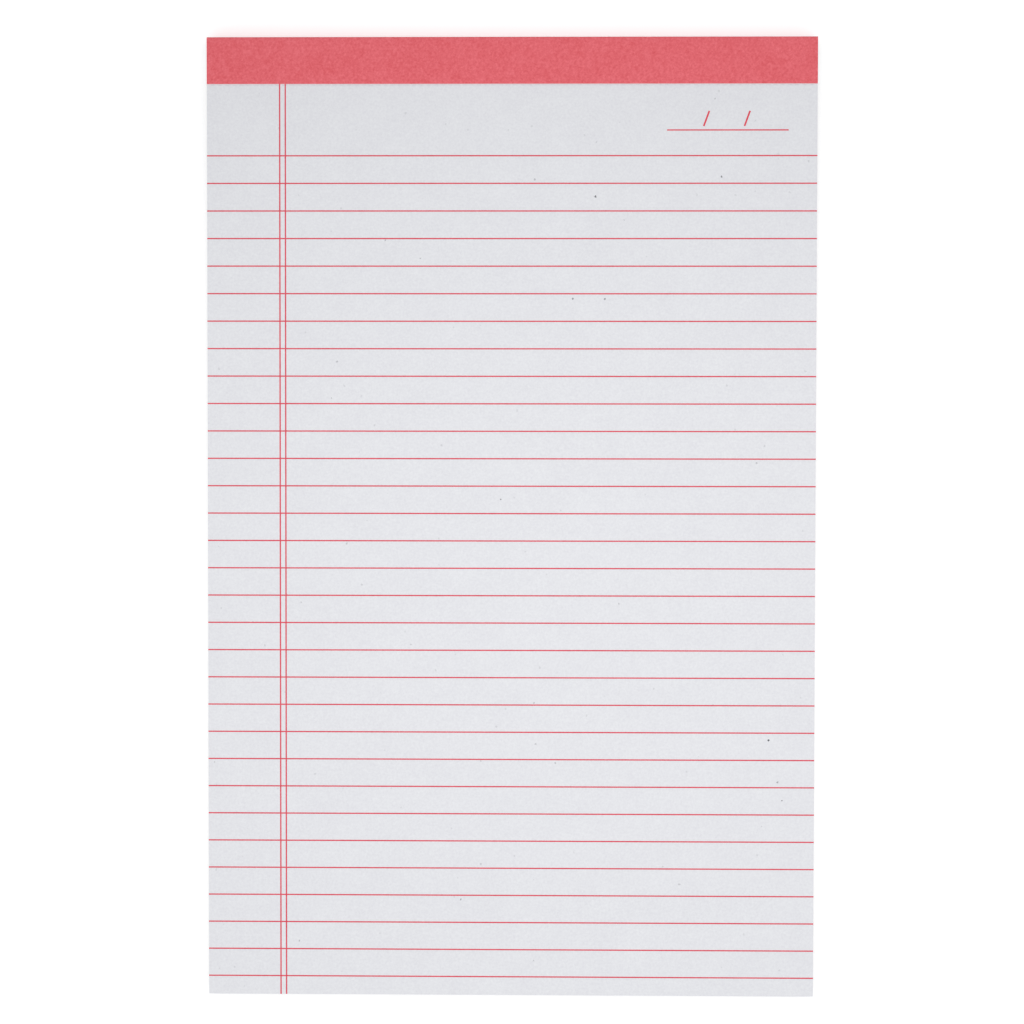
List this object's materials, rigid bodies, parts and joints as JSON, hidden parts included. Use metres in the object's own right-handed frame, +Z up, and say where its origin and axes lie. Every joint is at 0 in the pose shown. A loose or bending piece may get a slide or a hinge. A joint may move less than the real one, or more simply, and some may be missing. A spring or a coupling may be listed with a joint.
{
  "type": "notepad",
  "caption": "Top-bound ruled notepad: a block of perforated leaves on a card back, gummed along the head and wrapped there by one folded paper tape.",
  "frame": {"origin": "on the surface that the pad lies on, under the middle of its outline", "axes": "+X to the right of the page, +Y towards the bound head, +Z up out of the page"},
  "size_m": [0.127, 0.2004, 0.0058],
  "materials": {
    "leaf_paper": "uncoated recycled writing paper, faintly mottled, with fine grey specks",
    "chipboard": "uncoated grey chipboard",
    "padding_gum": "dried white padding gum",
    "tape_paper": "matte coral binding paper, finely mottled",
    "ruling_ink": "matte printed ink"
  },
  "bodies": {
    "root": {"sheets": "leaf_paper", "backing_board": "chipboard", "head_gum": "padding_gum", "binding_tape": "tape_paper", "ruling": "ruling_ink"}
  },
  "joints": []
}
